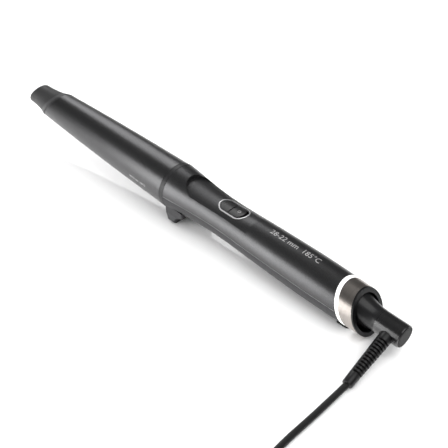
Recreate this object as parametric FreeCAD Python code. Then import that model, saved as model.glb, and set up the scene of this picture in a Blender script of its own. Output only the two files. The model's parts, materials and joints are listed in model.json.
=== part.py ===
"""Tapered curling wand with a swivel mains cord, modelled as separate pieces.

The wand is drawn along its own X axis (tip at -X, cord end at +X, thumb side at +Z) and is then
tilted to the way it rests: on the pad of its stand and on the rear foot, with the hot tip raised.
The frame's origin is the middle of the stand pad's flat underside, +Z up. Millimetres throughout.
"""

import FreeCAD, Part
import math
import os

from FreeCAD import Matrix, Placement, Rotation, Vector

# ---- Driving dimensions ---------------------------------------------------------------------
REST_TILT_DEG = 3.34          # how far the tip is raised when the wand rests on its stand
AXIS_HEIGHT = 21.24           # axis above the table at the heat break ring
ORIGIN_S = 6.6                # station of the stand pad's middle, measured from the barrel's base

BARREL = [(-128.0, 9.75), (-100.0, 10.95), (-62.0, 12.4), (-28.0, 13.35), (0.0, 13.95)]
BARREL_WALL = 1.1
SPREADER_WALL = 1.4
TIP_SLANT = 0.72              # the cool tip's joint leans back: mm along the axis per mm of height
TIP_JOINT = -117.2
TIP = [(-116.0, 10.15), (-118.2, 9.95), (-119.8, 9.55), (-123.0, 8.75), (-128.0, 7.95),
       (-134.0, 7.45), (-139.6, 7.2)]
TIP_END_ROUND = 2.0

RING_END = 3.3                # the heat break ring fills the gap between barrel and handle
RING_RADIUS = 14.05
BUSH_END = 11.0               # the insulating bush reaches this far into the handle
HANDLE = [(3.3, 13.95), (10.0, 13.35), (20.0, 12.25), (32.0, 11.35), (46.0, 11.05), (64.0, 11.5),
          (86.0, 12.0), (108.0, 12.2), (130.0, 11.8), (150.0, 11.1)]
HANDLE_WALL = 1.8
END_SLANT = -0.46             # the light ring, collar and mouth lean the other way
LIGHT_START, LIGHT_END = 128.8, 130.9
COLLAR_START, COLLAR_END = 130.95, 139.8
COLLAR_BORE = 10.3
LIP = 1.0                        # depth of the cup's rim, which covers the collar's end

SCOOP_START, SCOOP_END = 12.5, 64.0
SCOOP_HALF_WIDTH = 9.4
SCOOP_EDGE_DEG = 50.0
SCOOP_FRONT_RADIUS = 22.0
ROOF = 6.9                    # height of the ceiling inside the handle under the thumb rest

BEZEL_MIDDLE = 46.8
BEZEL_LENGTH, BEZEL_WIDTH = 20.0, 11.2
BEZEL_LINE = 0.6
CAP_LENGTH, CAP_WIDTH = 16.6, 9.4
CAP_BACKSET = 0.9             # the cap sits towards the tip and leaves a dark gap behind it
PRESS_TRAVEL = 0.8

BOARD_START, BOARD_END, BOARD_HALF_WIDTH = 33.0, 108.5, 7.8
BOARD_BOTTOM, BOARD_TOP = -1.0, 0.6
SCREW_BOSSES = ((27.0, -10.2, ROOF + 0.5), (112.8, -10.9, 10.8))      # station, bottom, top
BOARD_BOSSES = ((37.5, -9.8), (105.0, -10.9))                         # station, bottom
REAR_FOOT_START, REAR_FOOT_END = 125.5, 133.4

NECK = [(128.0, 8.9), (133.0, 8.8), (137.0, 8.1), (141.5, 6.9), (147.2, 6.2)]
CAP_START, CAP_END = 147.3, 160.3
CAP_RADIUS = 6.2
SPINDLE_RADIUS = 3.2
SPINDLE_START = 117.0
SLIP_RING_STATIONS = (118.0, 120.6)
SLIP_RING_WIDTH, SLIP_RING_RADIUS = 1.1, 3.9
CLIP_STATION = 123.0
STEM_START = 124.0
RUNNING_GAP = 0.05

RELIEF_STATION = 154.6
RELIEF_ROOT, RELIEF_TIP = 3.7, 2.45
RELIEF_START, RELIEF_FIRST_SLOT, RELIEF_PLAIN_END = 2.7, 9.0, 6.0
RELIEF_SLOTS = 11

CORD_DIAMETER = 3.3
CORD_LENGTH = 2700.0
LIE = CORD_DIAMETER / 2 + 0.1     # height of the cord's middle where it lies on the table
ROUTE = [(151.0, -36.4, 3.1), (151.0, -48.0, 2.1), (151.4, -61.0, LIE), (151.6, -80.0, LIE),
         (153.4, -96.0, LIE), (160.5, -109.5, LIE), (171.5, -118.3, LIE), (182.2, -124.5, LIE)]
TAIL = [(233.8, -95.2, 11.0), (232.4, -84.0, 9.8), (230.2, -72.5, 8.2), (228.0, -61.0, 7.2),
        (226.6, -50.5, 7.0)]
COIL_CENTRE = (205.0, -103.5)
COIL_MEAN_RADIUS = 23.0
COIL_COLUMNS, COIL_LAYERS = 5, 4
PLUG_THICKNESS, PLUG_WIDTH, PLUG_LENGTH = 13.8, 35.2, 38.0
PIN_RADIUS, PIN_LENGTH, PIN_SPACING = 2.0, 19.0, 18.6

# ---- Placement of the resting wand ----------------------------------------------------------
TILT = math.radians(REST_TILT_DEG)
PAD_DROP = (AXIS_HEIGHT - ORIGIN_S * math.sin(TILT)) / math.cos(TILT)
SHIFT_X = -(ORIGIN_S * math.cos(TILT) - PAD_DROP * math.sin(TILT))
RESTING = Placement(Vector(SHIFT_X, 0, AXIS_HEIGHT), Rotation(Vector(0, 1, 0), REST_TILT_DEG))
AXIS = Vector(1, 0, 0)
NODES = {}


def to_table(station, side, height):
    """Table-frame point of a place on the wand given by its own station, side and height."""
    return RESTING.multVec(Vector(station, side, height))


def keep(name, shape, placed=False):
    """Put a finished piece where it rests and remember it under its node name."""
    solid = shape.copy()
    if not placed:
        solid.Placement = RESTING.multiply(solid.Placement)
    NODES[name] = solid


# ---- Shape helpers --------------------------------------------------------------------------
def face_of(points):
    """Flat face inside a closed polygon of points."""
    return Part.Face(Part.makePolygon([Vector(*p) for p in points] + [Vector(*points[0])]))


def turned(outline, inset=0.0):
    """Solid of revolution about the wand's axis, below a smooth outline of (station, radius)."""
    curve = Part.BSplineCurve()
    curve.interpolate([Vector(s, 0, r - inset) for s, r in outline])
    first, last = outline[0], outline[-1]
    start, end = Vector(first[0], 0, 0), Vector(last[0], 0, 0)
    edges = [
        curve.toShape(),
        Part.makeLine(Vector(last[0], 0, last[1] - inset), end),
        Part.makeLine(end, start),
        Part.makeLine(start, Vector(first[0], 0, first[1] - inset)),
    ]
    return Part.Face(Part.Wire(edges)).revolve(Vector(0, 0, 0), AXIS, 360)


def rod(start, end, radius, side=0.0, height=0.0):
    """Round bar along the wand's axis direction."""
    return Part.makeCylinder(radius, end - start, Vector(start, side, height), AXIS)


def tube(start, end, outer, inner):
    """Round tube about the wand's axis."""
    return rod(start, end, outer).cut(rod(start - 1, end + 1, inner))


def post(station, side, low, high, radius):
    """Upright round bar."""
    return Part.makeCylinder(radius, high - low, Vector(station, side, low))


def block(s0, s1, y0, y1, z0, z1):
    """Box between two corners."""
    return Part.makeBox(s1 - s0, y1 - y0, z1 - z0, Vector(s0, y0, z0))


def slab(start, end, slant, reach=40.0):
    """Everything between two parallel leaning planes that cross the axis at start and end."""
    lean = slant * reach
    corners = [(start - lean, -reach, -reach), (end - lean, -reach, -reach),
               (end + lean, -reach, reach), (start + lean, -reach, reach)]
    return face_of(corners).extrude(Vector(0, 2 * reach, 0))


def leaning_disc(start, thickness, radius, slant):
    """Disc that is square to a leaning plane's normal, centred on the axis."""
    normal = Vector(1, 0, -slant)
    return Part.makeCylinder(radius, thickness, Vector(start, 0, 0), normal)


def stadium(middle, length, width, low, high):
    """Upright prism with a long hole's outline, seen from above."""
    radius = width / 2
    half = length / 2 - radius
    body = block(middle - half, middle + half, -radius, radius, low, high)
    ends = [post(middle + end * half, 0, low, high, radius) for end in (-1, 1)]
    return body.fuse(ends).removeSplitter()


def sheared(shape, slant):
    """Lean a turned shape so that each of its rings lies in a leaning plane."""
    lean = Matrix()
    lean.A13 = slant
    return shape.transformGeometry(lean)


def joined(first, *others):
    """Fuse solids into one and merge the faces that ran through."""
    return first.fuse(list(others)).removeSplitter()


# ---- Hot end --------------------------------------------------------------------------------
def hot_end():
    """Barrel, cool tip, and the heater that fills the barrel."""
    outer = turned(BARREL)
    hollow = turned(BARREL, BARREL_WALL)
    barrel = outer.cut(hollow).common(slab(TIP_JOINT, 60.0, TIP_SLANT))
    barrel = barrel.common(block(-130, 0, -20, 20, -20, 20))
    rims = [e for e in barrel.Edges if e.BoundBox.XMax < -105 and e.BoundBox.ZLength > 19.5]
    keep("barrel", barrel.makeChamfer(0.3, rims))

    tip = sheared(turned(TIP[::-1]), TIP_SLANT)
    rim = [e for e in tip.Edges if e.BoundBox.Center.x < -136]
    tip = tip.makeFillet(TIP_END_ROUND, rim)
    tip = tip.common(slab(-160.0, TIP_JOINT - 0.05, TIP_SLANT))
    plug = rod(-126.0, -106.0, 7.6).common(slab(TIP_JOINT - 0.6, 0.0, TIP_SLANT))
    keep("cool_tip", joined(tip, plug))

    core = turned(BARREL, BARREL_WALL + 0.06)
    core_bore = turned(BARREL, BARREL_WALL + SPREADER_WALL)
    for name, sign in (("heat_spreader_upper", 1), ("heat_spreader_lower", -1)):
        low, high = sorted((sign * 1.5, sign * 20.0))
        shell = core.cut(core_bore).common(block(-103.0, -15.5, -20, 20, low, high))
        low, high = sorted((sign * 1.5, sign * 2.9))
        web = core.common(block(-103.0, -15.5, -20, 20, low, high))
        keep(name, joined(shell, web))

    keep("heater_film", block(-99, -18, -7.8, 7.8, -1.45, 1.45).cut(block(-100, -17, -7.5, 7.5, -1.3, 1.3)))
    plates = [block(-98 + 20 * i, -79.5 + 20 * i, -7.4, 7.4, -1.1, 1.1) for i in range(4)]
    keep("ptc_heaters", Part.makeCompound(plates))
    keep("thermistor", joined(rod(-62, -56, 1.0, 0, -4.15), rod(-56, -40, 0.45, 0, -4.15)))
    leads = [rod(-17.9, BOARD_START - 0.1, 0.8, side, 0) for side in (-4.6, 4.6)]
    keep("heater_leads", Part.makeCompound(leads))


def heat_break():
    """Ring and bush that keep the barrel's heat out of the handle."""
    ring = tube(0.05, RING_END - 0.05, RING_RADIUS, 12.2)
    edges = [e for e in ring.Edges if e.Curve.TypeId == "Part::GeomCircle" and e.Curve.Radius > 13]
    keep("heat_break_ring", ring.makeChamfer(0.25, edges))
    bush = joined(tube(-14.5, RING_END, 12.05, 8.4), tube(RING_END, BUSH_END, 10.85, 8.4))
    keep("insulating_bush", bush)


# ---- Handle ---------------------------------------------------------------------------------
def scoop_floor(rise):
    """Solid under the thumb rest's surface: flatter than the handle at its front, fading behind."""
    sections = []
    spread = math.radians(SCOOP_EDGE_DEG)
    for station, edge_radius, bend in ((8.0, 13.6, SCOOP_FRONT_RADIUS + 2), (38.0, 11.2, 16.6),
                                       (SCOOP_END + 4, 11.6, 11.7)):
        half, level = edge_radius * math.sin(spread), edge_radius * math.cos(spread)
        middle = level - math.sqrt(bend * bend - half * half) + rise
        wide = 11.0 if bend > 12 else half
        side = middle + math.sqrt(bend * bend - wide * wide)
        arc = Part.Arc(Vector(station, -wide, side), Vector(station, 0, middle + bend),
                       Vector(station, wide, side)).toShape()
        corners = [Vector(station, wide, side), Vector(station, wide, -4), Vector(station, -wide, -4),
                   Vector(station, -wide, side)]
        lines = [Part.makeLine(a, b) for a, b in zip(corners, corners[1:])]
        sections.append(Part.Wire([arc] + lines))
    return Part.makeLoft(sections, True, False)


def scoop_tool():
    """What the thumb rest takes away from the handle: round at the front, open at the back."""
    radius = SCOOP_HALF_WIDTH
    outline = post(SCOOP_START + radius, 0, 2.0, 30.0, radius)
    outline = outline.fuse(block(SCOOP_START + radius, SCOOP_END, -radius, radius, 2.0, 30.0))
    return outline.cut(scoop_floor(0.0))


def stand_fin():
    """Moulded stand under the heat break, which leans forward and has a curved back."""
    start, end = Vector(5.1, 0, -20.35), Vector(7.4, 0, -20.2)
    notch = Vector(4.4, 0, -19.4)
    edges = [
        Part.makeLine(Vector(3.4, 0, -6), Vector(3.4, 0, -12.6)),
        Part.makeLine(Vector(3.4, 0, -12.6), Vector(1.2, 0, -18.6)),
        Part.Arc(Vector(1.2, 0, -18.6), Vector(2.2, 0, -20.15), Vector(3.8, 0, -20.35)).toShape(),
        Part.makeLine(Vector(3.8, 0, -20.35), notch),
        Part.makeLine(notch, start),
        Part.makeLine(start, end),
        Part.Arc(end, Vector(9.6, 0, -15.2), Vector(17.0, 0, -10.0)).toShape(),
        Part.makeLine(Vector(17.0, 0, -10.0), Vector(17.0, 0, -6)),
        Part.makeLine(Vector(17.0, 0, -6), Vector(3.4, 0, -6)),
    ]
    side_view = Part.Face(Part.Wire(edges))
    side_view.translate(Vector(0, -20, 0))
    fin = side_view.extrude(Vector(0, 40, 0))
    front = [(0, -11.9, -5), (0, 11.9, -5), (0, 11.3, -12), (0, 9.6, -18.4), (0, 7.6, -20.6),
             (0, -7.6, -20.6), (0, -9.6, -18.4), (0, -11.3, -12)]
    return fin.common(face_of(front).extrude(Vector(30, 0, 0)))


def handle():
    """Upper and lower shells, their screws, the stand pad and the rear foot."""
    body = turned(HANDLE)
    cavity = turned(HANDLE, HANDLE_WALL)
    roof = block(BUSH_END + 0.2, SCOOP_END + 2, -20, 20, ROOF, 20)
    cavity = cavity.cut(roof)
    length = slab(-20.0, LIGHT_START - 0.05, END_SLANT).common(block(RING_END, 150, -30, 30, -30, 30))

    upper = body.cut(scoop_tool()).cut(cavity).common(length)
    upper = upper.common(block(0, 160, -20, 20, 0.03, 20))
    upper = upper.cut(stadium(BEZEL_MIDDLE, BEZEL_LENGTH + 0.1, BEZEL_WIDTH + 0.1, 0, 30).cut(
        scoop_floor(-1.3)))
    upper = upper.cut(stadium(BEZEL_MIDDLE, BEZEL_LENGTH - 2 * BEZEL_LINE, BEZEL_WIDTH - 2 * BEZEL_LINE,
                              0, 30))
    for station, _, top in SCREW_BOSSES:
        upper = joined(upper, post(station, 0, 0.03, top, 2.5)).cut(post(station, 0, -1, 5.6, 1.03))
    keep("upper_shell", upper)

    lower = joined(body.cut(cavity), stand_fin().cut(turned(HANDLE, 0.4))).common(length)
    lower = lower.common(block(0, 160, -20, 20, -30, -0.03))
    for station, wall, _ in SCREW_BOSSES:
        lower = joined(lower, post(station, 0, wall, -0.03, 2.9))
        lower = lower.cut(post(station, 0, -30, 1, 1.15)).cut(post(station, 0, -30, wall + 3.4, 2.3))
    for station, wall in BOARD_BOSSES:
        lower = joined(lower, post(station, 0, wall, BOARD_BOTTOM - 0.02, 2.4))
        lower = lower.cut(post(station, 0, -7.0, 0, 1.03))
    keep("lower_shell", lower)

    screws = []
    for station, wall, _ in SCREW_BOSSES:
        head = post(station, 0, wall + 1.6, wall + 3.35, 2.1)
        drive = Part.makeBox(3.0, 0.6, 0.6, Vector(station - 1.5, -0.3, wall + 1.6))
        cross = Part.makeBox(0.6, 3.0, 0.6, Vector(station - 0.3, -1.5, wall + 1.6))
        screws.append(joined(head, post(station, 0, wall + 3.35, 5.2, 1.0)).cut(drive).cut(cross))
    keep("shell_screws", Part.makeCompound(screws))
    return body


def feet(body):
    """Rubber pads under the stand and foot under the handle's end, both flat on the table."""
    table = block(-200, 200, -60, 60, -30, 0)
    pads = []
    for start, end, half in ((2.3, 3.8, 7.0), (5.0, 7.3, 7.2)):
        pad = block(start, end, -half, half, -24.0, -19.9).cut(stand_fin())
        pad.Placement = RESTING
        pads.append(pad.cut(table))
    keep("stand_pad", Part.makeCompound(pads), placed=True)
    foot = block(REAR_FOOT_START, REAR_FOOT_END, -5.0, 5.0, -16.0, -8.0).cut(body)
    edges = [e for e in foot.Edges if abs(e.BoundBox.ZLength) > 1.0 and e.BoundBox.XLength < 0.01
             and e.BoundBox.YLength < 0.01]
    foot = foot.makeFillet(1.6, edges)
    foot.Placement = RESTING
    keep("rear_foot", foot.cut(table), placed=True)


def power_button():
    """Chrome bezel in the shell, and the cap and plunger that travel when pressed."""
    inner = (BEZEL_LENGTH - 2 * BEZEL_LINE, BEZEL_WIDTH - 2 * BEZEL_LINE)
    bezel = stadium(BEZEL_MIDDLE, BEZEL_LENGTH, BEZEL_WIDTH, 0, 30)
    bezel = bezel.cut(stadium(BEZEL_MIDDLE, inner[0] + 0.02, inner[1] + 0.02, -1, 31))
    keep("button_bezel", bezel.common(scoop_floor(0.2)).cut(scoop_floor(-1.25)))

    middle = BEZEL_MIDDLE - CAP_BACKSET
    cap = stadium(middle, CAP_LENGTH, CAP_WIDTH, 5.3, 30).common(scoop_floor(-0.15))
    skirt = stadium(BEZEL_MIDDLE, BEZEL_LENGTH, 11.4, 5.3, 6.6)
    cap = joined(cap, skirt)
    groove = block(middle - 0.35, middle + 0.35, -4.0, 2.6, 0, 30).cut(scoop_floor(-0.75))
    lens_place = middle - 4.9
    cap = cap.cut(groove).cut(post(lens_place, 0, 0, 30, 0.62))
    keep("power_button", cap)
    keep("indicator_lens", post(lens_place, 0, 5.3, 30, 0.6).common(scoop_floor(-0.12)))
    keep("switch_plunger", joined(post(middle, 0, 3.1, 5.28, 1.5), post(middle, 0, 2.3, 3.1, 1.5)))
    return middle


def electronics(switch_station):
    """Control board and what is soldered to it."""
    board = block(BOARD_START, BOARD_END, -BOARD_HALF_WIDTH, BOARD_HALF_WIDTH, BOARD_BOTTOM, BOARD_TOP)
    for station, _ in BOARD_BOSSES:
        board = board.cut(post(station, 0, -5, 5, 1.2))
    keep("control_board", board)
    screws = []
    for station, _ in BOARD_BOSSES:
        head = post(station, 0, BOARD_TOP + 0.02, BOARD_TOP + 1.5, 1.9)
        screws.append(joined(head, post(station, 0, -6.5, BOARD_TOP + 0.02, 1.0)))
    keep("board_screws", Part.makeCompound(screws))

    seat = BOARD_TOP + 0.02
    switch = block(switch_station - 3, switch_station + 3, -3, 3, seat, 4.2)
    keep("tact_switch", switch.cut(post(switch_station, 0, 1.3, 6, 1.6)))
    keep("indicator_led", block(switch_station - 5.7, switch_station - 4.1, -0.6, 0.6, seat, 1.5))
    keep("film_capacitor", block(68, 82, -3.6, 3.6, seat, 7.2))
    tab = block(88.9, 89.6, -3.2, 3.2, seat, 7.8)
    keep("triac", joined(block(86, 88.9, -3.4, 3.4, seat, 5.6), tab))
    keep("fuse", rod(90.5, 98.5, 1.9, 4.2, seat + 1.95))
    keep("buzzer", post(94.5, -2.6, seat, 4.4, 3.2).cut(post(94.5, -2.6, 3.6, 6, 0.8)))
    keep("microcontroller", block(58, 64, -3, 3, seat, 1.9))
    keep("choke_coil", Part.makeTorus(3.0, 1.5, Vector(92, 0, BOARD_BOTTOM - 1.6), Vector(0, 0, 1)))
    keep("terminal_block", block(99.2, 102.6, -5.5, 5.5, seat, 5.8))


# ---- Cord end -------------------------------------------------------------------------------
def cord_end():
    """Light ring, metal collar, black cup and the fixed neck that carries the swivel."""
    body = turned(HANDLE)
    light = body.common(slab(LIGHT_START, LIGHT_END, END_SLANT)).cut(rod(100, 160, 8.6))
    keep("light_ring", light)
    start = LIGHT_START - 2.7
    board = leaning_disc(start, 1.0, 9.3, END_SLANT).cut(rod(100, 160, 6.25))
    keep("led_board", board)
    leds = []
    for index in range(8):
        led = Part.makeBox(0.8, 1.6, 1.2, Vector(start + 1.02, -0.8, 7.5))
        led.rotate(Vector(start, 0, 0), AXIS, 45 * index + 22.5)
        led.rotate(Vector(start, 0, 0), Vector(0, 1, 0), math.degrees(math.atan(END_SLANT)))
        leds.append(led)
    keep("ring_leds", Part.makeCompound(leds))

    collar = body.common(slab(COLLAR_START, COLLAR_END - LIP, END_SLANT)).cut(rod(100, 170, COLLAR_BORE))
    keep("end_collar", collar)
    cup = rod(100, 170, COLLAR_BORE - 0.05).common(slab(LIGHT_END + 0.1, COLLAR_END - 0.3, END_SLANT))
    cup = joined(cup, body.common(slab(COLLAR_END - LIP + 0.02, COLLAR_END, END_SLANT)))
    cup = cup.cut(rod(100, 170, 9.35).common(slab(LIGHT_END + 1.5, 190, END_SLANT)))
    keep("end_cup", cup.cut(rod(100, 170, 6.2)))
    horn = turned(NECK).common(slab(LIGHT_END + 1.55, 190, END_SLANT))
    stem = rod(STEM_START, 140, 6.1).common(slab(80, 134, END_SLANT))
    neck = joined(horn, stem).cut(rod(100, 170, SPINDLE_RADIUS + RUNNING_GAP))
    keep("swivel_neck", neck)

    low, high = SLIP_RING_STATIONS
    keep("brush_carrier", tube(low - 0.6, high + 1.2, 7.9, 6.95))
    brushes = []
    for station in SLIP_RING_STATIONS:
        for side in (-1, 1):
            y0, y1 = sorted((side * (SLIP_RING_RADIUS + 0.06), side * 6.9))
            brushes.append(block(station + 0.1, station + 1.0, y0, y1, -0.8, 0.8))
    keep("contact_brushes", Part.makeCompound(brushes))


def swivel():
    """Everything that turns with the cord about the wand's axis."""
    spindle = rod(SPINDLE_START, 151.0, SPINDLE_RADIUS)
    for station in SLIP_RING_STATIONS:
        spindle = spindle.cut(tube(station, station + SLIP_RING_WIDTH, 6, 2.6))
    spindle = spindle.cut(tube(CLIP_STATION, CLIP_STATION + 0.8, 6, 2.6))
    keep("swivel_spindle", spindle)
    inset = 0.03
    rings = [tube(station + inset, station + SLIP_RING_WIDTH - inset, SLIP_RING_RADIUS, 2.62)
             for station in SLIP_RING_STATIONS]
    keep("slip_rings", Part.makeCompound(rings))
    clip = tube(CLIP_STATION + inset, CLIP_STATION + 0.8 - inset, 5.2, 2.62)
    keep("spindle_clip", clip.cut(block(120, 126, -1.6, 1.6, 0, 8)))

    cap = rod(CAP_START, CAP_END, CAP_RADIUS).cut(rod(CAP_START - 1, 151.05, SPINDLE_RADIUS + 0.02))
    outward = relief_direction()
    root = Vector(RELIEF_STATION, 0, 0)
    cap = cap.cut(Part.makeCylinder(RELIEF_ROOT + 0.05, 20, root + outward * 2.6, outward))
    keep("swivel_cap", cap)
    disc = rod(CAP_END + 0.05, CAP_END + 1.5, CAP_RADIUS - 0.05)
    rim = [e for e in disc.Edges if e.BoundBox.Center.x > CAP_END + 1.4]
    keep("cap_disc", disc.makeFillet(0.7, rim))


def relief_direction():
    """Unit direction of the strain relief, out of the cap's side and a little down."""
    root = to_table(RELIEF_STATION, 0, 0)
    aim = Vector(ROUTE[0][0], ROUTE[0][1], ROUTE[0][2]) - root
    return RESTING.inverse().Rotation.multVec(aim).normalize()


def strain_relief():
    """Tapered, slotted sleeve that carries the cord out of the cap."""
    outward = relief_direction()
    root = Vector(RELIEF_STATION, 0, 0)
    length = (Vector(*ROUTE[0]) - to_table(RELIEF_STATION, 0, 0)).Length
    sleeve = Part.makeCone(RELIEF_ROOT, RELIEF_TIP, length - RELIEF_START, root + outward * RELIEF_START,
                           outward)
    pitch = (length - RELIEF_FIRST_SLOT - RELIEF_PLAIN_END) / RELIEF_SLOTS
    for index in range(RELIEF_SLOTS):
        at = root + outward * (RELIEF_FIRST_SLOT + pitch * index)
        ring = Part.makeCylinder(6, pitch * 0.42, at, outward)
        ring = ring.cut(Part.makeCylinder(2.15, pitch * 0.42, at, outward))
        spine = Part.makeBox(3.0, 14.0, 60, Vector(-1.5, -7.0, 0))
        spine.Placement = Placement(root, Rotation(Vector(0, 0, 1), outward))
        sleeve = sleeve.cut(ring.cut(spine))
    keep("strain_relief", sleeve)


# ---- Cord -----------------------------------------------------------------------------------
def cord_path(points):
    """Wire of straight runs joined by tangent arcs, and the radius of each arc."""
    points = [Vector(*p) for p in points]
    edges, radii = [], []
    here = points[0]
    for before, corner, after in zip(points, points[1:], points[2:]):
        into, out = (corner - before), (after - corner)
        turn = into.getAngle(out)
        setback = 0.45 * min(into.Length, out.Length)
        radii.append(setback / math.tan(turn / 2))
        into.normalize()
        out.normalize()
        start, end = corner - into * setback, corner + out * setback
        bisector = (out - into).normalize()
        middle = corner + bisector * (radii[-1] / math.cos(turn / 2) - radii[-1])
        edges.append(Part.LineSegment(here, start).toShape())
        edges.append(Part.Arc(start, middle, end).toShape())
        here = end
    edges.append(Part.LineSegment(here, points[-1]).toShape())
    return Part.Wire(edges), radii


def laid_cord(name, points):
    """Round cord along a route; prints what its shape comes to and returns its length."""
    path, radii = cord_path(points)
    first, second = Vector(*points[0]), Vector(*points[1])
    ring = Part.Wire(Part.makeCircle(CORD_DIAMETER / 2, first, second - first))
    solid = path.makePipeShell([ring], True, False)
    expected = path.Length * math.pi * CORD_DIAMETER ** 2 / 4
    print(name, "radii", ", ".join(f"{radius:.1f}" for radius in radii))
    print(name, f"length {path.Length:.1f}, volume {solid.Volume:.0f} against {expected:.0f}")
    keep(name, solid, placed=True)
    return path.Length


def cord():
    """Cord that lies on the table, the coil that stores the rest of it, and its tail."""
    loose = laid_cord("cord", ROUTE) + laid_cord("cord_tail", TAIL)
    half_width = COIL_COLUMNS * CORD_DIAMETER / 2
    height = COIL_LAYERS * CORD_DIAMETER
    centre = Vector(COIL_CENTRE[0], COIL_CENTRE[1], 0.1)
    coil = Part.makeCylinder(COIL_MEAN_RADIUS + half_width, height, centre)
    coil = coil.cut(Part.makeCylinder(COIL_MEAN_RADIUS - half_width, height, centre))
    keep("cord_coil", coil, placed=True)
    turns = (CORD_LENGTH - loose) / (2 * math.pi * COIL_MEAN_RADIUS)
    print(f"coil: {turns:.1f} turns in {COIL_COLUMNS * COIL_LAYERS} places")


def plug():
    """Flat two-pin plug lying on the table at the end of the cord."""
    outline = [(0, -4.2), (13, -5.4), (21, -15.6), (25, -PLUG_WIDTH / 2), (PLUG_LENGTH, -PLUG_WIDTH / 2)]
    outline += [(x, -y) for x, y in reversed(outline)]
    body = face_of([(x, y, 0) for x, y in outline]).extrude(Vector(0, 0, PLUG_THICKNESS))
    rims = [e for e in body.Edges if e.BoundBox.ZLength < 0.01]
    body = body.makeChamfer(1.6, rims)
    pins = []
    for side in (-1, 1):
        place = Vector(PLUG_LENGTH + 0.02, side * PIN_SPACING / 2, PLUG_THICKNESS / 2)
        pin = Part.makeCylinder(PIN_RADIUS, PIN_LENGTH, place, AXIS)
        end = [e for e in pin.Edges if e.BoundBox.XMin > PLUG_LENGTH + PIN_LENGTH - 0.5]
        pins.append(pin.makeChamfer(0.7, end))
    entry, before = Vector(*TAIL[-1]), Vector(*TAIL[-2])
    heading = math.degrees(math.atan2(entry.y - before.y, entry.x - before.x))
    lying = Placement(Vector(entry.x, entry.y, 0.05), Rotation(Vector(0, 0, 1), heading))
    for name, shape in (("plug_body", body), ("plug_pins", Part.makeCompound(pins))):
        shape.Placement = lying
        keep(name, shape, placed=True)


def main():
    """Build every piece and write one STEP file for each."""
    hot_end()
    heat_break()
    feet(handle())
    electronics(power_button())
    cord_end()
    swivel()
    strain_relief()
    cord()
    plug()
    os.makedirs("parts", exist_ok=True)
    for name, shape in NODES.items():
        shape.exportStep(f"parts/{name}.step")


main()
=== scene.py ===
import json
import logging
import math
from collections.abc import Callable, Iterator, Sequence
from contextlib import contextmanager
from dataclasses import dataclass, field
from enum import Enum

import bmesh
import bpy
from mathutils import Matrix, Vector
from mathutils.bvhtree import BVHTree


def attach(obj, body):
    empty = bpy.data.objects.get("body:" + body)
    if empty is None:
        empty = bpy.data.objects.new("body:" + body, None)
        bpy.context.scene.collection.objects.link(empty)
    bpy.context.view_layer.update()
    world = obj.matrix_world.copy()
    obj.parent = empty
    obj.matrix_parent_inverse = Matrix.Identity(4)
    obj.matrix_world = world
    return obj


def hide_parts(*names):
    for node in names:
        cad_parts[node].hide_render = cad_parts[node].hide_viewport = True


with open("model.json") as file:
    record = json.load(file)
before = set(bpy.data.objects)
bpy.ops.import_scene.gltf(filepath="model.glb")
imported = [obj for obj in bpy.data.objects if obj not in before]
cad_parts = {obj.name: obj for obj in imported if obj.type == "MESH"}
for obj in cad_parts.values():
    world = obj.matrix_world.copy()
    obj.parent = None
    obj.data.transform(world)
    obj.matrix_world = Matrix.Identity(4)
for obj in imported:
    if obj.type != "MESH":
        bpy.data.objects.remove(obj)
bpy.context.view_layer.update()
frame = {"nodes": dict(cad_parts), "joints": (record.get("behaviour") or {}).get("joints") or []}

LOG = logging.getLogger("curling_wand")
MM = 0.001
SIZE_WORDS = "28-22 mm  185\u00b0C"

Colour = tuple[float, float, float]
Point = tuple[float, float, float]


# ---- The wand's own axis ----------------------------------------------------------------------
class Body(Enum):
    """The bodies of the frame that pieces ride on."""

    WAND = "wand"
    BUTTON = "button"
    SWIVEL = "swivel"


@dataclass(frozen=True)
class WandAxis:
    """Where the wand's axis lies at rest, read from the swivel joint that turns about it."""

    swivel_station: float = 150 * MM

    def swivel(self) -> tuple[Vector, Vector]:
        """A point on the swivel's axis, and the unit vector along it towards the wand's cord end."""
        joint = next(j for j in frame["joints"] if j["name"] == "swivel_turn")
        return Vector(joint["pos_m"]), Vector(joint["axis"]).normalized()

    def laying(self) -> Matrix:
        """Lay a piece drawn along the wand's own axis at its resting place.

        Returns:
            Matrix from the wand's own axes to the frame.
        """
        point, along = self.swivel()
        lean = Vector((1, 0, 0)).rotation_difference(along).to_matrix().to_4x4()
        return Matrix.Translation(point - along * self.swivel_station) @ lean

    def tilt(self) -> float:
        """Angle in radians by which the wand leans about the table's Y axis."""
        along = self.swivel()[1]
        return math.atan2(-along.z, along.x)


AXIS = WandAxis()


# ---- Shader groups shared by the finishes -----------------------------------------------------
MOTTLE_SCALE = 60.0
PIT_SHARE = 0.6
PEEL_SCALE = 900.0
WANDER_SCALE = 140.0
RING_WANDER = 0.4 * MM
STREAK_LINES = 900.0


class Effect(Enum):
    """Surface effects that more than one finish uses, each one a node group."""

    GRAIN = "moulded_grain"
    FLAKE = "coat_flake"
    BRUSH = "turned_brushing"
    HANDLING = "handling_marks"


def new_group(effect: Effect, inputs: dict[str, float], outputs: Sequence[str]) -> bpy.types.NodeTree:
    """Make an empty node group with its sockets.

    Args:
        effect: the effect that the group makes; it gives the group's name.
        inputs: name and default value of each number that the group takes.
        outputs: names of the values that it gives.

    Returns:
        The group, holding its input and output nodes.
    """
    tree = bpy.data.node_groups.new(effect.value, "ShaderNodeTree")
    tree.interface.new_socket("Place", in_out="INPUT", socket_type="NodeSocketVector")
    for name, value in inputs.items():
        socket = tree.interface.new_socket(name, in_out="INPUT", socket_type="NodeSocketFloat")
        socket.default_value = value
    for name in outputs:
        tree.interface.new_socket(name, in_out="OUTPUT", socket_type="NodeSocketFloat")
    tree.nodes.new("NodeGroupInput")
    tree.nodes.new("NodeGroupOutput")
    return tree


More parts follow.
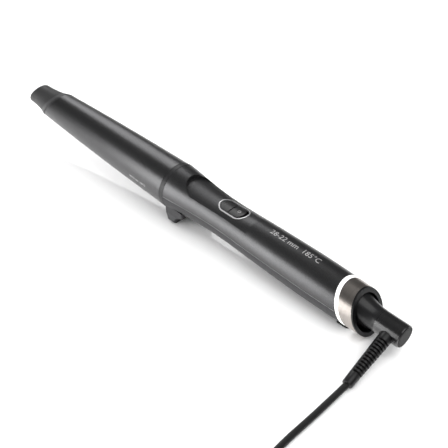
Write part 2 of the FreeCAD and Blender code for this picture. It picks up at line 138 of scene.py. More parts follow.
def add_node(tree: bpy.types.NodeTree, kind: str, inputs: dict[str, object] | None = None,
             **settings: object) -> bpy.types.Node:
    """Add a node, set its properties, and fill or link its inputs.

    Args:
        tree: the node tree to add to.
        kind: the node's type, without its "ShaderNode" prefix.
        inputs: socket name or index to a value, or to an output socket to link from.
        settings: properties of the node itself.

    Returns:
        The new node.
    """
    node = tree.nodes.new("ShaderNode" + kind)
    for name, value in settings.items():
        setattr(node, name, value)
    for name, value in (inputs or {}).items():
        if isinstance(value, bpy.types.NodeSocket):
            tree.links.new(value, node.inputs[name])
        else:
            node.inputs[name].default_value = value
    return node


def ends(tree: bpy.types.NodeTree) -> tuple[bpy.types.Node, bpy.types.Node]:
    """The input and output nodes of a group."""
    return tree.nodes["Group Input"], tree.nodes["Group Output"]


def math_node(tree: bpy.types.NodeTree, operation: str, *values: object) -> bpy.types.NodeSocket:
    """Result of a Math node on numbers or sockets."""
    node = add_node(tree, "Math", dict(enumerate(values)), operation=operation)
    return node.outputs[0]


def grain_group() -> bpy.types.NodeTree:
    """Fine leathery grain of moulded plastic.

    Returns:
        A group that gives a height, and a mask that mottles the tone.
    """
    tree = new_group(Effect.GRAIN, {"Scale": 2500.0}, ("Height", "Mottle"))
    source, sink = ends(tree)
    place, scale = source.outputs["Place"], source.outputs["Scale"]
    fine = add_node(tree, "TexNoise", {"Vector": place, "Scale": scale, "Detail": 3.0, "Roughness": 0.6})
    pits = add_node(tree, "TexVoronoi", {"Vector": place, "Scale": scale}, feature="SMOOTH_F1")
    height = math_node(tree, "MULTIPLY_ADD", pits.outputs["Distance"], PIT_SHARE, fine.outputs["Fac"])
    wide = add_node(tree, "TexNoise", {"Vector": place, "Scale": MOTTLE_SCALE, "Detail": 4.0})
    tree.links.new(height, sink.inputs["Height"])
    tree.links.new(wide.outputs["Fac"], sink.inputs["Mottle"])
    return tree


def flake_group() -> bpy.types.NodeTree:
    """Metallic flake in a satin coat.

    Returns:
        A group that gives single bright flecks, and the height of a very fine orange peel.
    """
    tree = new_group(Effect.FLAKE, {"Scale": 6000.0}, ("Fleck", "Peel"))
    source, sink = ends(tree)
    place = source.outputs["Place"]
    cells = add_node(tree, "TexVoronoi", {"Vector": place, "Scale": source.outputs["Scale"]})
    parts = add_node(tree, "SeparateColor", {"Color": cells.outputs["Color"]})
    peel = add_node(tree, "TexNoise", {"Vector": place, "Scale": PEEL_SCALE, "Detail": 2.0})
    tree.links.new(parts.outputs[0], sink.inputs["Fleck"])
    tree.links.new(peel.outputs["Fac"], sink.inputs["Peel"])
    return tree


def brush_group() -> bpy.types.NodeTree:
    """Marks of turning round the wand's axis: fine rings that wander a little along it.

    Returns:
        A group that gives the rings' height, and a mask of wider streaks.
    """
    tree = new_group(Effect.BRUSH, {"Lines": 9000.0}, ("Height", "Streak"))
    source, sink = ends(tree)
    along = add_node(tree, "SeparateXYZ", {"Vector": source.outputs["Place"]})
    wander = add_node(tree, "TexNoise", {"Vector": source.outputs["Place"], "Scale": WANDER_SCALE,
                                         "Detail": 2.0})
    drift = math_node(tree, "MULTIPLY", wander.outputs["Fac"], RING_WANDER)
    station = math_node(tree, "ADD", along.outputs["X"], drift)
    place = math_node(tree, "MULTIPLY", station, source.outputs["Lines"])
    rings = add_node(tree, "TexNoise", {"W": place, "Scale": 1.0, "Detail": 4.0, "Roughness": 0.7},
                     noise_dimensions="1D")
    broad = math_node(tree, "MULTIPLY", station, STREAK_LINES)
    wide = add_node(tree, "TexNoise", {"W": broad, "Scale": 1.0}, noise_dimensions="1D")
    tree.links.new(rings.outputs["Fac"], sink.inputs["Height"])
    tree.links.new(wide.outputs["Fac"], sink.inputs["Streak"])
    return tree


def handling_group() -> bpy.types.NodeTree:
    """Faint smears that hands leave, in soft patches.

    Returns:
        A group that gives a mask for how rough the surface is.
    """
    tree = new_group(Effect.HANDLING, {"Scale": 45.0}, ("Smear",))
    source, sink = ends(tree)
    stretch = add_node(tree, "Mapping", {"Vector": source.outputs["Place"], "Scale": (0.45, 1.0, 1.0)})
    patches = add_node(tree, "TexNoise", {"Vector": stretch.outputs["Vector"],
                                          "Scale": source.outputs["Scale"], "Detail": 5.0,
                                          "Roughness": 0.55, "Distortion": 0.6})
    tree.links.new(patches.outputs["Fac"], sink.inputs["Smear"])
    return tree


# ---- Finishes -----------------------------------------------------------------------------------
PEEL_SHARE = 0.25
STREAK_SHARE = 0.25
BUMP_STRENGTH = 0.35
BUMP_DEPTH = 0.06 * MM
GLOW_COLOUR = (1.0, 0.995, 0.985, 1.0)


@dataclass(frozen=True)
class Finish:
    """How one surface looks: its base values, and how strongly each shared effect shows in it."""

    name: str
    colour: Colour
    metallic: float = 0.0
    roughness: float = 0.45
    specular: float = 0.5
    coat: float = 0.0
    coat_roughness: float = 0.15
    grain: float = 0.0
    grain_scale: float = 2500.0
    flake: float = 0.0
    brushing: float = 0.0
    mottle: float = 0.10
    smear: float = 0.12
    glow: float = 0.0
    transmission: float = 0.0

    def place(self, tree: bpy.types.NodeTree) -> bpy.types.NodeSocket:
        """Turn Object coordinates to the wand's own axis.

        Args:
            tree: the material's nodes.

        Returns:
            The turned coordinates.
        """
        where = add_node(tree, "TexCoord")
        straight = add_node(tree, "Mapping", {"Vector": where.outputs["Object"],
                                              "Rotation": (0.0, -AXIS.tilt(), 0.0)})
        return straight.outputs["Vector"]

    def effect(self, tree: bpy.types.NodeTree, effect: Effect, place: bpy.types.NodeSocket,
               **values: float) -> bpy.types.Node:
        """Place one of the shared groups in this finish.

        Args:
            tree: the material's nodes.
            effect: which group.
            place: the coordinates that it reads.
            values: the finish's own values for the group's inputs.

        Returns:
            The group's node.
        """
        node = tree.nodes.new("ShaderNodeGroup")
        node.node_tree = EFFECTS[effect]
        tree.links.new(place, node.inputs["Place"])
        for name, value in values.items():
            node.inputs[name].default_value = value
        return node

    def build(self) -> bpy.types.Material:
        """Make the material.

        Returns:
            A material whose colour, roughness and relief vary over the surface.
        """
        material = bpy.data.materials.new(self.name)
        material.use_nodes = True
        tree = material.node_tree
        shader = tree.nodes["Principled BSDF"]
        shader.inputs["Metallic"].default_value = self.metallic
        shader.inputs["Specular IOR Level"].default_value = self.specular
        shader.inputs["Coat Weight"].default_value = self.coat
        shader.inputs["Coat Roughness"].default_value = self.coat_roughness
        shader.inputs["Transmission Weight"].default_value = self.transmission
        place = self.place(tree)
        grain = self.effect(tree, Effect.GRAIN, place, Scale=self.grain_scale)
        smear = self.effect(tree, Effect.HANDLING, place)

        tone = math_node(tree, "MULTIPLY_ADD", grain.outputs["Mottle"], 2 * self.mottle, 1 - self.mottle)
        height = math_node(tree, "MULTIPLY", grain.outputs["Height"], self.grain)
        if self.flake:
            flake = self.effect(tree, Effect.FLAKE, place)
            fleck = math_node(tree, "MULTIPLY_ADD", flake.outputs["Fleck"], 2 * self.flake, 1 - self.flake)
            tone = math_node(tree, "MULTIPLY", tone, fleck)
            height = math_node(tree, "MULTIPLY_ADD", flake.outputs["Peel"], PEEL_SHARE * self.flake, height)
        if self.brushing:
            brush = self.effect(tree, Effect.BRUSH, place)
            contrast = STREAK_SHARE * self.brushing
            streak = math_node(tree, "MULTIPLY_ADD", brush.outputs["Streak"], 2 * contrast, 1 - contrast)
            tone = math_node(tree, "MULTIPLY", tone, streak)
            height = math_node(tree, "MULTIPLY_ADD", brush.outputs["Height"], self.brushing, height)
        paint = add_node(tree, "VectorMath", {0: self.colour, "Scale": tone}, operation="SCALE")
        tree.links.new(paint.outputs["Vector"], shader.inputs["Base Color"])
        rough = math_node(tree, "MULTIPLY_ADD", smear.outputs["Smear"], 2 * self.smear * self.roughness,
                          self.roughness * (1 - self.smear))
        tree.links.new(rough, shader.inputs["Roughness"])
        bump = add_node(tree, "Bump", {"Height": height, "Strength": BUMP_STRENGTH, "Distance": BUMP_DEPTH})
        tree.links.new(bump.outputs["Normal"], shader.inputs["Normal"])
        if self.glow:
            shader.inputs["Emission Color"].default_value = GLOW_COLOUR
            shader.inputs["Emission Strength"].default_value = self.glow
        return material


EFFECTS = {
    Effect.GRAIN: grain_group(),
    Effect.FLAKE: flake_group(),
    Effect.BRUSH: brush_group(),
    Effect.HANDLING: handling_group(),
}

GRAPHITE_BARREL = Finish("graphite_barrel_coat", (0.118, 0.118, 0.120), metallic=0.92, roughness=0.33,
                         flake=0.18, brushing=0.12, mottle=0.05)
GRAPHITE_SHELL = Finish("graphite_satin_paint", (0.100, 0.100, 0.102), metallic=0.88, roughness=0.36,
                        flake=0.22, mottle=0.05, smear=0.16)
UNDER_SHELL = Finish("graphite_underside", (0.060, 0.060, 0.062), metallic=0.55, roughness=0.46,
                     flake=0.15, grain=0.15, mottle=0.08)
TIP_PLASTIC = Finish("cool_tip_plastic", (0.060, 0.060, 0.061), metallic=0.15, roughness=0.48, grain=0.5,
                     mottle=0.12)
RING_PLASTIC = Finish("heat_break_plastic", (0.026, 0.026, 0.027), roughness=0.42, grain=0.3)
SATIN_BLACK = Finish("satin_black_plastic", (0.018, 0.018, 0.019), roughness=0.34, grain=0.35, coat=0.15)
GLOSS_BLACK = Finish("gloss_black_plastic", (0.009, 0.009, 0.010), roughness=0.26, specular=0.8,
                     coat=0.8, coat_roughness=0.20, grain=0.1)
CUP_BLACK = Finish("cup_black_plastic", (0.005, 0.005, 0.006), roughness=0.40, grain=0.3)
# The bezel's pale, half-diffuse white is a painted sheen: it stands in for the chrome's bright reflection
# all round the ring.
CHROME_LINE_PAINTED_SHEEN = Finish("bezel_chrome_painted_sheen", (0.90, 0.90, 0.91), metallic=0.45, roughness=0.34, mottle=0.03)
DIFFUSER = Finish("light_ring_diffuser", (0.95, 0.95, 0.94), roughness=0.30, glow=1.1, mottle=0.02)
CHAMPAGNE = Finish("champagne_brushed_metal", (0.43, 0.395, 0.367), metallic=1.0, roughness=0.30,
                   brushing=0.5, mottle=0.04, smear=0.05)
FOOT_RUBBER = Finish("foot_rubber", (0.020, 0.020, 0.021), roughness=0.75, grain=1.0, grain_scale=1800.0)
CORD_JACKET = Finish("cord_jacket", (0.007, 0.007, 0.008), roughness=0.45, grain=0.3)
RELIEF_RUBBER = Finish("relief_rubber", (0.010, 0.010, 0.011), roughness=0.42, grain=0.4, coat=0.1)
PLUG_PLASTIC = Finish("plug_plastic", (0.018, 0.018, 0.019), roughness=0.44, grain=0.7)
PIN_NICKEL = Finish("pin_nickel", (0.74, 0.72, 0.66), metallic=1.0, roughness=0.22, mottle=0.05)
CONTACT_BRASS = Finish("contact_brass", (0.78, 0.58, 0.27), metallic=1.0, roughness=0.32)
CARBON = Finish("pressed_carbon", (0.03, 0.03, 0.03), metallic=0.3, roughness=0.6, grain=0.6)
ZINC_STEEL = Finish("zinc_steel", (0.58, 0.58, 0.60), metallic=1.0, roughness=0.35, mottle=0.12)
SPREADER = Finish("extruded_aluminium", (0.70, 0.71, 0.72), metallic=1.0, roughness=0.40, mottle=0.08)
CERAMIC = Finish("heater_ceramic", (0.70, 0.68, 0.63), roughness=0.6, grain=0.6)
AMBER_FILM = Finish("amber_film", (0.55, 0.25, 0.05), roughness=0.25, mottle=0.15)
HEAT_PLASTIC = Finish("glass_filled_plastic", (0.11, 0.10, 0.09), roughness=0.55, grain=0.9)
BOARD_GREEN = Finish("board_green", (0.015, 0.13, 0.05), roughness=0.35, mottle=0.15)
COMPONENT = Finish("component_black", (0.025, 0.025, 0.025), roughness=0.5, grain=0.5)
CAPACITOR = Finish("capacitor_yellow", (0.62, 0.40, 0.06), roughness=0.35, mottle=0.1)
WINDING = Finish("copper_winding", (0.62, 0.30, 0.13), metallic=1.0, roughness=0.35, brushing=0.5)
FUSE_GLASS = Finish("fuse_glass", (0.85, 0.88, 0.88), roughness=0.05, transmission=0.9)
LENS_CLEAR = Finish("smoked_lens", (0.055, 0.055, 0.058), roughness=0.22, mottle=0.04)
TERMINAL = Finish("terminal_plastic", (0.42, 0.43, 0.42), roughness=0.5, grain=0.5)
BAND_GREY = Finish("tip_band_plastic", (0.105, 0.105, 0.107), metallic=0.3, roughness=0.42, grain=0.3)
END_BLACK = Finish("cap_end_plastic", (0.012, 0.012, 0.013), roughness=0.55, specular=0.25, grain=0.5)
# The parting beads' pale grey is a painted highlight: it stands in for light caught along the shells'
# parting edges.
BEAD_PAINTED_HIGHLIGHT = Finish("parting_bead", (0.34, 0.34, 0.345), metallic=0.3, roughness=0.45, mottle=0.05)
PRINT_GREY = Finish("pad_printed_grey", (0.80, 0.79, 0.79), roughness=0.5, mottle=0.06)

CAD_FINISHES: dict[Finish, tuple[str, ...]] = {
    GRAPHITE_BARREL: ("barrel",),
    TIP_PLASTIC: ("cool_tip",),
    SPREADER: ("heat_spreader_upper", "heat_spreader_lower"),
    AMBER_FILM: ("heater_film",),
    CERAMIC: ("ptc_heaters", "thermistor"),
    RING_PLASTIC: ("heat_break_ring", "switch_plunger"),
    HEAT_PLASTIC: ("insulating_bush", "brush_carrier"),
    GRAPHITE_SHELL: ("upper_shell",),
    UNDER_SHELL: ("lower_shell",),
    ZINC_STEEL: ("heater_leads", "shell_screws", "board_screws", "spindle_clip"),
    FOOT_RUBBER: ("stand_pad", "rear_foot"),
    CHROME_LINE_PAINTED_SHEEN: ("button_bezel",),
    BOARD_GREEN: ("control_board", "led_board"),
    COMPONENT: ("tact_switch", "triac", "buzzer", "microcontroller"),
    LENS_CLEAR: ("indicator_led", "ring_leds", "indicator_lens"),
    CAPACITOR: ("film_capacitor",),
    FUSE_GLASS: ("fuse",),
    WINDING: ("choke_coil",),
    TERMINAL: ("terminal_block",),
    DIFFUSER: ("light_ring",),
    CHAMPAGNE: ("end_collar",),
    CUP_BLACK: ("end_cup",),
    SATIN_BLACK: ("swivel_neck", "power_button", "swivel_spindle"),
    CARBON: ("contact_brushes",),
    CONTACT_BRASS: ("slip_rings",),
    GLOSS_BLACK: ("swivel_cap", "cap_disc"),
    RELIEF_RUBBER: ("strain_relief",),
    CORD_JACKET: ("cord", "cord_coil", "cord_tail"),
    PLUG_PLASTIC: ("plug_body",),
    PIN_NICKEL: ("plug_pins",),
}


@dataclass
class PaintShop:
    """Builds each finish once and puts it on pieces."""

    made: dict[str, bpy.types.Material] = field(default_factory=dict)

    def material(self, finish: Finish) -> bpy.types.Material:
        """Make a finish's material, the first time that it is asked for.

        Args:
            finish: the finish.

        Returns:
            Its material.
        """
        if finish.name not in self.made:
            self.made[finish.name] = finish.build()
        return self.made[finish.name]

    def dress(self, piece: bpy.types.Object, finish: Finish) -> None:
        """Give a whole piece one finish.

        Args:
            piece: the piece, or a node of the frame.
            finish: how it is to look.
        """
        material = self.material(finish)
        if not piece.material_slots:
            piece.data.materials.append(material)
        for slot in piece.material_slots:
            slot.material = material

    def dress_frame(self) -> None:
        """Give every carried-over node of the frame its finish."""
        for finish, names in CAD_FINISHES.items():
            for name in names:
                self.dress(frame["nodes"][name], finish)
            LOG.info("dressed %s in %s", ", ".join(names), finish.name)


# ---- Modelling helpers ----------------------------------------------------------------------------
WELD = 0.001 * MM


def use_only(piece: bpy.types.Object) -> None:
    """Make one piece the only selected object, and the active one.

    Args:
        piece: the piece.
    """
    bpy.ops.object.select_all(action="DESELECT")
    piece.select_set(True)
    bpy.context.view_layer.objects.active = piece


@contextmanager
def editing(piece: bpy.types.Object, mode: str = "FACE") -> Iterator[None]:
    """Open a piece in edit mode with nothing selected, and close it again.

    Args:
        piece: the mesh object to edit.
        mode: what is selected: VERT, EDGE or FACE.
    """
    use_only(piece)
    bpy.ops.object.mode_set(mode="EDIT")
    bpy.ops.mesh.select_mode(type=mode)
    bpy.ops.mesh.select_all(action="DESELECT")
    yield
    bpy.ops.object.mode_set(mode="OBJECT")


def pick_faces(piece: bpy.types.Object, wanted: Callable[[bmesh.types.BMFace], bool]) -> None:
    """Select just the faces that a test wants, in edit mode.

    Args:
        piece: the mesh object being edited.
        wanted: says of each face whether it is selected.
    """
    mesh = bmesh.from_edit_mesh(piece.data)
    chosen = [face for face in mesh.faces if wanted(face)]
    bpy.ops.mesh.select_all(action="DESELECT")
    for face in chosen:
        face.select_set(True)
    bmesh.update_edit_mesh(piece.data)


def smooth(piece: bpy.types.Object, angle_deg: float) -> None:
    """Shade a piece smooth, apart from edges sharper than an angle."""
    use_only(piece)
    bpy.ops.object.shade_smooth_by_angle(angle=math.radians(angle_deg))


def turned(name: str, outline: Sequence[tuple[float, float]], steps: int = 64) -> bpy.types.Object:
    """Closed piece turned about the X axis, drawn out ring by ring from its first end.

    Args:
        name: the piece's name.
        outline: station and radius of each ring.
        steps: sides of each ring.

    Returns:
        The piece, with flat ends and its faces pointing outwards.
    """
    start, radius = outline[0]
    bpy.ops.mesh.primitive_circle_add(vertices=steps, radius=radius, fill_type="NGON",
                                      location=(start, 0, 0), rotation=(0, math.pi / 2, 0))
    piece = bpy.context.object
    piece.name = name
    bpy.ops.object.transform_apply(location=True, rotation=True, scale=True)
    with editing(piece):
        bpy.ops.mesh.select_all(action="SELECT")
        for (here, before), (station, after) in zip(outline, outline[1:]):
            bpy.ops.mesh.extrude_region_move(TRANSFORM_OT_translate={"value": (station - here, 0, 0)})
            bpy.ops.transform.resize(value=(1, after / before, after / before),
                                     center_override=(station, 0, 0))
        bpy.ops.mesh.select_all(action="SELECT")
        bpy.ops.mesh.normals_make_consistent(inside=False)
    return piece


def soften(piece: bpy.types.Object, width: float, segments: int = 2, angle_deg: float = 35.0) -> None:
    """Round a piece's hard edges and smooth the rest of it.

    Args:
        piece: the mesh object.
        width: width of the rounding.
        segments: faces across the rounding.
        angle_deg: edges sharper than this are rounded.
    """
    use_only(piece)
    bevel = piece.modifiers.new("edge_rounding", "BEVEL")
    bevel.width = width
    bevel.segments = segments
    bevel.limit_method = "ANGLE"
    bevel.angle_limit = math.radians(angle_deg)
    bpy.ops.object.modifier_apply(modifier=bevel.name)
    smooth(piece, angle_deg)


def round_curve(name: str, kind: str, points: Sequence[Point], radius: float,
                resolution: int) -> bpy.types.Object:
    """Curve of one open spline, with a round section and closed ends.

    Args:
        name: the piece's name.
        kind: the spline's type, POLY or NURBS.
        points: its points.
        radius: radius of the section.
        resolution: how finely the section is rounded.

    Returns:
        The curve's object.
    """
    curve = bpy.data.curves.new(name, "CURVE")
    curve.dimensions = "3D"
    curve.bevel_depth = radius
    curve.bevel_resolution = resolution
    curve.use_fill_caps = True
    spline = curve.splines.new(kind)
    spline.points.add(len(points) - 1)
    for knot, point in zip(spline.points, points):
        knot.co = (*point, 1.0)
    piece = bpy.data.objects.new(name, curve)
    bpy.context.scene.collection.objects.link(piece)
    return piece


def settle(piece: bpy.types.Object, place: Matrix, shop: PaintShop, finish: Finish, slot: str,
           body: Body, *stands_for: str) -> bpy.types.Object:
    """Lay a finished piece in its place and hand it to the frame.

    Args:
        piece: the mesh object, drawn in its own axes.
        place: matrix to the frame.
        shop: where its material comes from.
        finish: how it looks.
        slot: the record's material slot for the piece; not used.
        body: the body that it rides on.
        stands_for: nodes of the frame that it replaces.

    Returns:
        The piece.
    """
    piece.data.transform(place)
    piece.data.update()
    shop.dress(piece, finish)
    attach(piece, body.value)
    if stands_for:
        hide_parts(*stands_for)
    LOG.info("settled %s: %d faces", piece.name, len(piece.data.polygons))
    return piece


@dataclass
class Skin:
    """Finds the outer surface of a node of the frame, in the wand's own axes."""

    node: str
    reach: float = 0.04

    def __post_init__(self) -> None:
        """Prepare the node's mesh for being probed."""
        depsgraph = bpy.context.evaluated_depsgraph_get()
        self.tree = BVHTree.FromObject(frame["nodes"][self.node], depsgraph)
        self.laying = AXIS.laying()

    def radius(self, station: float, angle: float) -> float | None:
        """Distance of the surface from the axis, at a station and an angle from the top to the front.

        Args:
            station: place along the wand.
            angle: radians from the thumb side (+Z) towards -Y.

        Returns:
            The radius, or None where the node has no surface there.
        """
        outward = Vector((0, -math.sin(angle), math.cos(angle)))
        return self.probe(Vector((station, 0, 0)) + outward * self.reach, -outward)

    def height(self, station: float, side: float) -> float | None:
        """Height of the surface above the axis, looking straight down on the thumb side."""
        return self.probe(Vector((station, side, self.reach)), Vector((0, 0, -1)))

    def probe(self, start: Vector, inward: Vector) -> float | None:
        """Look at the surface from as far out as the probe reaches.

        Args:
            start: where to look from, in the wand's own axes.
            inward: unit vector of the way to look.

        Returns:
            How far the surface stands out from the axis, or None where nothing is met.
        """
        found = self.tree.ray_cast(self.laying @ start, self.laying.to_3x3() @ inward, self.reach)
        return None if found[0] is None else self.reach - found[3]


def lifted_slice(name: str, node: str, cuts: Sequence[tuple[Point, Point]],
                 lift: float) -> bpy.types.Object:
    """Closed cover over one slice of a node of the frame.

    Args:
        name: the piece's name.
        node: the node whose surface it follows.
        cuts: planes, each a point on it and the side that goes, in the wand's own axes.
        lift: how far it stands off the node.

    Returns:
        The piece, in the wand's own axes.
    """
    source = frame["nodes"][node]
    piece = bpy.data.objects.new(name, source.data.copy())
    bpy.context.scene.collection.objects.link(piece)
    piece.data.transform(AXIS.laying().inverted() @ source.matrix_world)
    with editing(piece, "VERT"):
        bpy.ops.mesh.select_all(action="SELECT")
        bpy.ops.mesh.customdata_custom_splitnormals_clear()
        bpy.ops.mesh.remove_doubles(threshold=WELD)
        for point, outside in cuts:
            bpy.ops.mesh.select_all(action="SELECT")
            bpy.ops.mesh.bisect(plane_co=point, plane_no=outside, clear_outer=True, use_fill=True)
        bpy.ops.mesh.select_all(action="SELECT")
        bpy.ops.mesh.normals_make_consistent(inside=False)
        bpy.ops.transform.shrink_fatten(value=lift)
    smooth(piece, 35)
    return piece


# ---- Hot end --------------------------------------------------------------------------------------
@dataclass
class TipBand:
    """Paler band where the cool tip flares out to meet the barrel, behind a fine dark seam."""

    shop: PaintShop
    joint: float = -117.2 * MM
    lean: float = 0.72
    seam: float = 0.85 * MM
    width: float = 3.2 * MM
    lift: float = 0.07 * MM

    def build(self) -> None:
        """Cut the band out of the tip's own surface and lift it clear."""
        behind = (1.0, 0.0, -self.lean)
        ahead = (-1.0, 0.0, self.lean)
        planes = [((self.joint - self.seam, 0.0, 0.0), behind),
                  ((self.joint - self.seam - self.width, 0.0, 0.0), ahead)]
        band = lifted_slice("tip_band", "cool_tip", planes, self.lift)
        settle(band, AXIS.laying(), self.shop, BAND_GREY, "tip_plastic", Body.WAND)


# ---- Swivel ---------------------------------------------------------------------------------------
@dataclass
class EndDisc:
    """Matt disc let into the end of the swivel cap, with a fine groove round it."""

    shop: PaintShop
    radius_share: float = 0.93
    thickness: float = 0.30 * MM
    stand: float = 0.22 * MM
    rounding: float = 0.15 * MM
    side: float = 0.10 * MM
    groove_share: float = 0.80
    groove_floor: float = 0.08 * MM
    groove_half_top: float = 0.12 * MM
    groove_half_floor: float = 0.05 * MM
    middle_share: float = 0.4

    def build(self) -> None:
        """Turn the disc to the cap's end and lay it there."""
        cap = frame["nodes"]["cap_disc"]
        inward = AXIS.laying().inverted() @ cap.matrix_world
        corners = [inward @ vertex.co for vertex in cap.data.vertices]
        end = max(corner.x for corner in corners)
        radius = max(math.hypot(corner.y, corner.z) for corner in corners) * self.radius_share
        groove = radius * self.groove_share
        face, floor = end + self.stand, end + self.groove_floor
        disc = turned("cap_end", [
            (end - self.thickness, radius), (end + self.side, radius), (face, radius - self.rounding),
            (face, groove + self.groove_half_top), (floor, groove + self.groove_half_floor),
            (floor, groove - self.groove_half_floor), (face, groove - self.groove_half_top),
            (face, self.middle_share * groove)])
        smooth(disc, 30)
        settle(disc, AXIS.laying(), self.shop, END_BLACK, "gloss_black", Body.SWIVEL)


# ---- Handle details -------------------------------------------------------------------------------
@dataclass
class PartingBeads:
    """The fine raised line along each side where the two handle shells meet; its pale grey is a painted
    highlight along the parting edge.
    """

    shop: PaintShop
    start: float = 3.6 * MM
    end: float = 128.0 * MM
    spacing: float = 3.0 * MM
    thickness: float = 0.13 * MM
    angle_deg: float = 89.6

    def build(self) -> None:
        """Lay a bead on each side of the handle."""
        skin = Skin("upper_shell")
        for side, name in ((1, "parting_bead_near"), (-1, "parting_bead_far")):
            angle = side * math.radians(self.angle_deg)
            count = int((self.end - self.start) / self.spacing)
            stations = [self.start + (self.end - self.start) * i / count for i in range(count + 1)]
            found = [(station, skin.radius(station, angle)) for station in stations]
            points = [(station, -radius * math.sin(angle), radius * math.cos(angle))
                      for station, radius in found if radius is not None]
            use_only(round_curve(name, "POLY", points, self.thickness, resolution=2))
            bpy.ops.object.convert(target="MESH")
            bead = bpy.context.object
            bpy.ops.object.shade_smooth()
            settle(bead, AXIS.laying(), self.shop, BEAD_PAINTED_HIGHLIGHT, "graphite_shell", Body.WAND)


@dataclass
class PowerMark:
    """The small power mark on the button's half nearer the cord: an open ring and a bar."""

    shop: PaintShop
    station: float = 50.6 * MM
    ring_radius: float = 0.85 * MM
    line: float = 0.12 * MM
    gap_deg: float = 50.0
    bar_start: float = 0.25
    bar_end: float = 1.25
    bar_taper: float = 0.10
    bar_tip: float = 0.7

    def build(self) -> None:
        """Model the ring and the bar and set them into the button's surface."""
        height = Skin("power_button").height(self.station, 0.0)
        bpy.ops.mesh.primitive_torus_add(major_radius=self.ring_radius, minor_radius=self.line,
                                         major_segments=48, minor_segments=8)
        ring = bpy.context.object
        ring.name = "power_mark"
        with editing(ring):
            half = math.radians(self.gap_deg) / 2
            pick_faces(ring, lambda face: abs(math.atan2(face.calc_center_median().y,
                                                         face.calc_center_median().x)) < half)
            bpy.ops.mesh.delete(type="FACE")
            bpy.ops.mesh.select_all(action="SELECT")
            bpy.ops.mesh.fill_holes(sides=0)
        bar = turned("power_bar", [
            (self.bar_start * self.ring_radius, self.bar_tip * self.line),
            ((self.bar_start + self.bar_taper) * self.ring_radius, self.line),
            ((self.bar_end - self.bar_taper) * self.ring_radius, self.line),
            (self.bar_end * self.ring_radius, self.bar_tip * self.line)], steps=12)
        use_only(ring)
        bar.select_set(True)
        bpy.ops.object.join()
        smooth(ring, 40)
        place = AXIS.laying() @ Matrix.Translation((self.station, 0, height))
        settle(ring, place, self.shop, PRINT_GREY, "lens_clear", Body.BUTTON)


@dataclass
class SizePrint:
    """Numbers printed on the wand, wrapped onto its surface."""

    shop: PaintShop
    name: str
    words: str
    node: str
    slot: str
    station: float
    angle_deg: float
    letter: float
    lift: float = 0.02 * MM
    thickness: float = 0.015 * MM
    cuts: int = 3

    def build(self) -> None:
        """Set the text, cut it finely, and lay it on the node's skin."""
        skin = Skin(self.node)
        bpy.ops.object.select_all(action="DESELECT")
        bpy.ops.object.text_add()
        text = bpy.context.object
        text.name = self.name
        text.data.body = self.words
        text.data.size = self.letter
        text.data.extrude = self.thickness
        text.data.resolution_u = 3
        bpy.ops.object.convert(target="MESH")
        text = bpy.context.object
        with editing(text):
            bpy.ops.mesh.select_all(action="SELECT")
            bpy.ops.mesh.quads_convert_to_tris()
            bpy.ops.mesh.subdivide(number_cuts=self.cuts)
            bpy.ops.mesh.remove_doubles(threshold=0.5 * WELD)
        around = math.radians(self.angle_deg)
        middle = skin.radius(self.station, around)
        for vertex in text.data.vertices:
            station = self.station + vertex.co.x
            angle = around - vertex.co.y / middle
            radius = (skin.radius(station, angle) or middle) + self.lift + vertex.co.z
            vertex.co = (station, -radius * math.sin(angle), radius * math.cos(angle))
        settle(text, AXIS.laying(), self.shop, PRINT_GREY, self.slot, Body.WAND)


